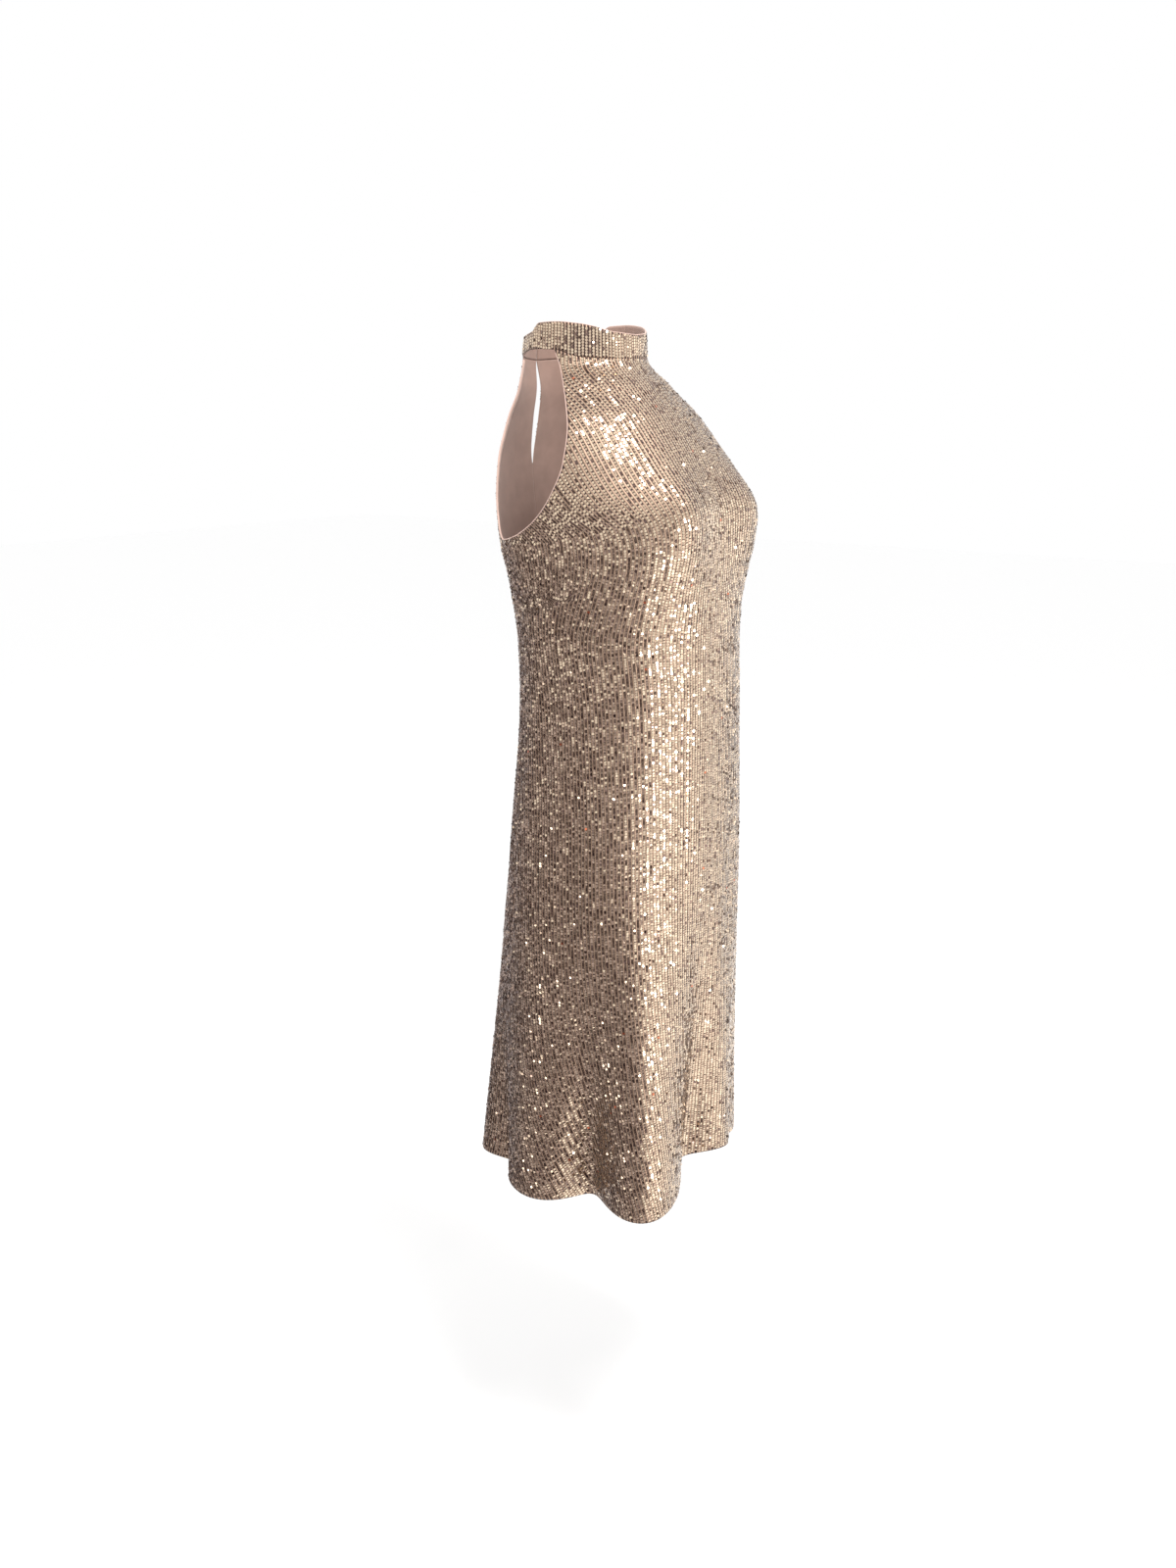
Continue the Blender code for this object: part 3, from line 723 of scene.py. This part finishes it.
def panelSequins(name, side, fromBack, seed):
    # rows at r = (k + 1/2) pitch; along each one, heights a pitch apart with a start of its own
    random = np.random.default_rng(sequin["seed"] + seed)
    reach = grainTables[(side, fromBack)].max()
    rows = (np.arange(int(reach / grain["rowPitch"]) + 1) + 0.5) * grain["rowPitch"]
    found = rowAngles(side, fromBack, rows)
    span = levels[0] - levels[-1]
    steps = int(span / sequin["pitch"] * sequin["overrun"])
    share = (np.arange(steps)[:, None] + random.random(len(rows))[None, :]
             + random.normal(0.0, sequin["startSpread"], (steps, len(rows)))) / steps
    level = np.clip(share, 0.0, 0.99999) * (len(levels) - 1)
    low = level.astype(int)
    mix = level - low
    column = np.arange(len(rows))[None, :]
    angle = found[low, column] * (1.0 - mix) + found[low + 1, column] * mix
    z = levels[0] - span * share
    angle = angle + random.normal(0.0, sequin["rowSpread"], angle.shape)
    tilts = rowTilts(steps, len(rows), random)
    keep = np.isfinite(angle)
    angle, z = angle[keep], z[keep]
    tilts = [tilt[keep] for tilt in tilts]
    bare = np.where(z < dress["underarm"], sequin["seamEdge"], sequin["edge"])
    margin = np.degrees(bare / sequin["sideRadius"])
    top = collarHeight(1, angle) - sequin["edge"]
    inside = (z < top) & (z > hemHeight(side * angle) + sequin["edge"])
    if fromBack:
        centre = 180.0 - np.degrees(slitInset(z) / dressRadius(180.0, z))
        backMargin = np.degrees(sequin["edge"] / sequin["sideRadius"])
        inside &= (angle > sideEdge(armholeBack, z) + margin) & (angle < centre - backMargin)
        inside &= (z < dress["underarm"]) | (angle > sideSeam[0][1])
    else:
        inside &= angle < sideEdge(armholeFront, z) - margin
        offDart = np.abs(z - dartHeight(angle)) > sequin["dartEdge"]
        inside &= offDart | (angle < grain["dartTip"][0])
    angle, z = side * angle[inside], z[inside]
    tilts = [tilt[inside] for tilt in tilts]
    normal = formNormal(angle, z)
    centre = formPoint(angle, z) + sequin["lift"] * normal
    down = np.tile((0.0, 0.0, -1.0), (len(z), 1))
    piece = sequinDiscs(name, centre, normal, down, tilts, random)
    print(name, len(z), "sequins")
    return piece


frontSequins = [panelSequins("sequinsFrontRight", -1, False, 1),
                panelSequins("sequinsFrontLeft", 1, False, 2)]
backSequins = [panelSequins("sequinsBackRight", -1, True, 3),
               panelSequins("sequinsBackLeft", 1, True, 4)]


def collarSequins(name, start, end, seed):
    # rows evenly round the band at a = r / radius, heights down from the top a pitch apart
    random = np.random.default_rng(sequin["seed"] + seed)
    rows = np.arange(math.radians(start) * dress["neckRadius"] + sequin["collarStart"],
                     math.radians(end) * dress["neckRadius"] - sequin["collarStop"],
                     grain["rowPitch"] * sequin["collarPitch"])
    angle = np.degrees(rows / dress["neckRadius"])[None, :]
    steps = sequin["collarSteps"]
    drop = (np.arange(steps)[:, None] + random.random(len(rows))[None, :]) * sequin["pitch"]
    z = sequin["collarTop"] - drop
    angle = np.broadcast_to(angle, z.shape)
    tilts = rowTilts(steps, len(rows), random)
    seam, top = collarHeight(1, angle), collarHeight(2, angle)
    inside = (z < top - sequin["collarEdge"]) & (z > seam + sequin["collarEdge"])
    angle, z, seam, top = angle[inside], z[inside], seam[inside], top[inside]
    tilts = [tilt[inside] for tilt in tilts]
    turn = np.radians(angle)
    normal = np.stack([np.sin(turn), -np.cos(turn), np.zeros_like(turn)], axis=-1)
    centre = collarPoint(angle, (z - seam) / (top - seam)) + sequin["lift"] * normal
    down = np.tile((0.0, 0.0, -1.0), (len(z), 1))
    return sequinDiscs(name, centre, normal, down, tilts, random)


collarSequinPieces = [collarSequins("sequinsCollarFront", -seamAngle, seamAngle, 5),
                      collarSequins("sequinsCollarLeft", seamAngle, collarEnd, 6),
                      collarSequins("sequinsCollarRight", -collarEnd, -seamAngle, 7)]
print("sequins sewn on")

# armhole tape: a thin rolled edge with a narrow facing inside
tape = {"lip": 0.0012, "width": 0.0060, "thick": 0.0007, "seat": 0.0002, "steps": 90,
        "startFront": 0.0035, "startBack": 0.0035}


def armholePath(side):
    # front edge down to the underarm, then the back edge up: z = top + (underarm - top) (1 - (1 - t)^2)
    s = 1.0 - (1.0 - np.linspace(0.0, 1.0, tape["steps"])) ** 2
    frontTop = armholeFront[0][0] - tape["startFront"]
    backTop = armholeBack[0][0] - tape["startBack"]
    frontZ = frontTop + (dress["underarm"] - frontTop) * s
    backZ = backTop + (dress["underarm"] - backTop) * s
    angle = np.concatenate([sideEdge(armholeFront, np.maximum(frontZ, dress["underarm"] + 1e-6)),
                            sideEdge(armholeBack, np.maximum(backZ, dress["underarm"] + 1e-6))[-2::-1]])
    z = np.concatenate([frontZ, backZ[-2::-1]])
    return side * angle, z


def armholeTape(name, side):
    # profile of a into the cloth and b in from its face, carried along: p = edge + a into - b out
    angle, z = armholePath(side)
    edge = formPoint(angle, z)
    out = formNormal(angle, z)
    along = unit(np.gradient(edge, axis=0))
    into = side * unit(np.cross(along, out))
    wall = dress["wall"] + tape["seat"]
    lip, width, thick = tape["lip"], tape["width"], tape["thick"]
    profile = [(-lip, 0.0004), (-lip * 0.5, -0.00015), (0.0, 0.0001), (0.0, wall),
               (width * 0.5, wall + 0.0001), (width, wall + 0.0004), (width, wall + 0.0004 + thick * 0.6),
               (width * 0.5, wall + thick), (0.0, wall + thick), (-lip * 0.8, wall + thick * 0.5)]
    ring = np.stack([edge + a * into - b * out for a, b in profile], axis=1)
    return tubePiece(name, ring, tapeSatin)


tapeLeft = armholeTape("armholeTapeLeft", 1)
tapeRight = armholeTape("armholeTapeRight", -1)


roll = {"steps": 240, "sides": 8, "endGap": 0.3, "inset": 0.0010, "lift": 0.0001,
        "across": 0.0008, "tall": 0.0006}


def collarEdge():
    # thin roll of lining along the collar's top edge: p = path + across cos t out + tall sin t up
    angle = np.linspace(-collarEnd + roll["endGap"], collarEnd - roll["endGap"], roll["steps"])
    turn = np.radians(angle)
    radius = dress["neckRadius"] - dress["collarTaper"] - roll["inset"]
    path = np.stack([radius * np.sin(turn), -radius * np.cos(turn),
                     collarHeight(2, angle) + roll["lift"]], axis=-1)
    out = np.stack([np.sin(turn), -np.cos(turn), 0.0 * turn], axis=-1)
    rise = np.array((0.0, 0.0, 1.0))
    spin = np.linspace(0.0, 2.0 * math.pi, roll["sides"], endpoint=False)
    ring = np.stack([path + roll["across"] * math.cos(a) * out + roll["tall"] * math.sin(a) * rise
                     for a in spin], axis=1)
    return tubePiece("collarLiningEdge", ring, tapeSatin)


liningEdge = collarEdge()
print("tape and edges made")

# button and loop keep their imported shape
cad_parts["button"].data.materials.clear()
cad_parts["button"].data.materials.append(buttonGloss)
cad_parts["loop"].data.materials.clear()
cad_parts["loop"].data.materials.append(tapeSatin)

# what stands for what
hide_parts("front")
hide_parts("back_left")
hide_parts("back_right")
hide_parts("collar_front")
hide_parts("collar_back_left")
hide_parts("collar_back_right")
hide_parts("binding_left")
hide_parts("binding_right")
for name, piece in pieces.items():
    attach(piece, "root")
    if "Collar" in name or name.startswith("collar"):
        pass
    elif "Tape" in name:
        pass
    else:
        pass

# camera, light and floor
view = {"turn": -54.0, "distance": 2.0, "height": -0.04, "tilt": 14.0, "side": -0.0036,
        "focal": 1605.0, "tall": 1600.0, "film": 24.0}


def makeCamera():
    # stands back from the neck along its turn and looks down by its tilt; lens = film focal / tall
    turn, tilt = math.radians(view["turn"]), math.radians(view["tilt"])
    ahead = Vector((-math.sin(turn), math.cos(turn), 0.0))
    right = Vector((math.cos(turn), math.sin(turn), 0.0))
    data = bpy.data.cameras.new("camera")
    data.sensor_fit = "VERTICAL"
    data.sensor_height = view["film"]
    data.lens = view["film"] * view["focal"] / view["tall"]
    data.clip_start = 0.05
    camera = bpy.data.objects.new("camera", data)
    bpy.context.scene.collection.objects.link(camera)
    camera.location = -ahead * view["distance"] - right * view["side"] + Vector((0.0, 0.0, view["height"]))
    camera.rotation_euler = (math.pi / 2.0 - tilt, 0.0, turn)
    bpy.context.scene.camera = camera


def areaLight(name, turn, rise, distance, size, power, colour, aim=(0.0, -0.05, -0.5)):
    # a soft panel at an azimuth and elevation about the dress, aimed at its middle
    turn, rise = math.radians(turn), math.radians(rise)
    data = bpy.data.lights.new(name, "AREA")
    data.shape = "RECTANGLE"
    data.size, data.size_y = size
    data.energy = power
    data.color = colour
    light = bpy.data.objects.new(name, data)
    bpy.context.scene.collection.objects.link(light)
    target = Vector(aim)
    light.location = target + distance * Vector((math.sin(turn) * math.cos(rise),
                                                 -math.cos(turn) * math.cos(rise), math.sin(rise)))
    light.rotation_euler = (target - light.location).to_track_quat("-Z", "Y").to_euler()
    light.visible_camera = False


floorPlace = {"size": 24.0, "z": -1.44}


def makeFloor():
    # a flat pale floor below the hem
    material, _, _, shader = newMaterial("studioPaper")
    shader.inputs["Base Color"].default_value = (0.99, 0.99, 0.99, 1.0)
    shader.inputs["Roughness"].default_value = 0.9
    bpy.ops.mesh.primitive_plane_add(size=floorPlace["size"], location=(0.0, 0.0, floorPlace["z"]))
    floor = bpy.context.object
    floor.name = "studioFloor"
    floor.data.materials.append(material)


flag = {"from": -33.0, "to": -213.0, "near": 0.45, "far": 1.7, "foot": -1.43, "top": -0.45,
        "middle": -0.05, "columns": 40, "rows": 31, "patches": 5.0, "darkTo": 0.485, "lightFrom": 0.535,
        "dark": (0.034, 0.017, 0.019), "light": (0.53, 0.49, 0.52)}


def makeFlag():
    # dark card that only glossy reflections see: near to far along the floor, then straight up,
    # z = foot + (top - foot) s^1.5, s from 0 to 1 over its second half
    turn = np.radians(np.linspace(flag["from"], flag["to"], flag["columns"]))[None, :]
    share = np.linspace(0.0, 1.0, flag["rows"])[:, None]
    reach = flag["near"] + (flag["far"] - flag["near"]) * np.minimum(share * 2.0, 1.0)
    rise = flag["foot"] + (flag["top"] - flag["foot"]) * np.maximum(share * 2.0 - 1.0, 0.0) ** 1.5
    points = np.stack([reach * np.sin(turn), flag["middle"] - reach * np.cos(turn), rise + 0.0 * turn],
                      axis=-1)
    material, nodes, links, shader = newMaterial("flagFelt")
    place = nodes.new("ShaderNodeTexCoord")
    patches = nodes.new("ShaderNodeTexNoise")
    patches.inputs["Scale"].default_value = flag["patches"]
    patches.inputs["Detail"].default_value = 1.0
    links.new(place.outputs["Object"], patches.inputs["Vector"])
    ramp = nodes.new("ShaderNodeValToRGB")
    places = (flag["darkTo"], flag["lightFrom"])
    for element, position, name in zip(ramp.color_ramp.elements, places, ("dark", "light")):
        element.position = position
        element.color = (*flag[name], 1.0)
    links.new(patches.outputs["Fac"], ramp.inputs["Fac"])
    links.new(ramp.outputs["Color"], shader.inputs["Base Color"])
    shader.inputs["Roughness"].default_value = 1.0
    corner = np.arange(points[..., 0].size).reshape(points.shape[:2])
    card = newPiece("reflectionFlag", points, gridFaces(corner), [material])
    card.visible_camera = False
    card.visible_diffuse = False
    card.visible_shadow = False


def makeWorld():
    # even white light from all round
    world = bpy.data.worlds.new("studio")
    bpy.context.scene.world = world
    world.use_nodes = True
    back = world.node_tree.nodes["Background"]
    back.inputs["Color"].default_value = (1.0, 1.0, 1.0, 1.0)
    back.inputs["Strength"].default_value = 1.0


makeCamera()
makeFloor()
makeFlag()
makeWorld()
areaLight("windowUpper", 8.0, -5.0, 2.6, (0.35, 0.75), 12.5, (1.0, 0.99, 0.98))
areaLight("windowLower", -8.0, -18.0, 2.6, (0.35, 0.75), 10.5, (1.0, 0.99, 0.98))
areaLight("windowSide", 60.0, 4.0, 3.2, (2.4, 1.8), 8.0, (1.0, 0.99, 0.97))
areaLight("doorway", -122.0, -38.0, 1.6, (0.30, 0.30), 1.3, (1.0, 0.98, 0.96))
areaLight("ceiling", -20.0, 62.0, 2.2, (0.8, 0.8), 26.0, (1.0, 0.99, 0.98))
bpy.context.scene.view_settings.view_transform = "Standard"
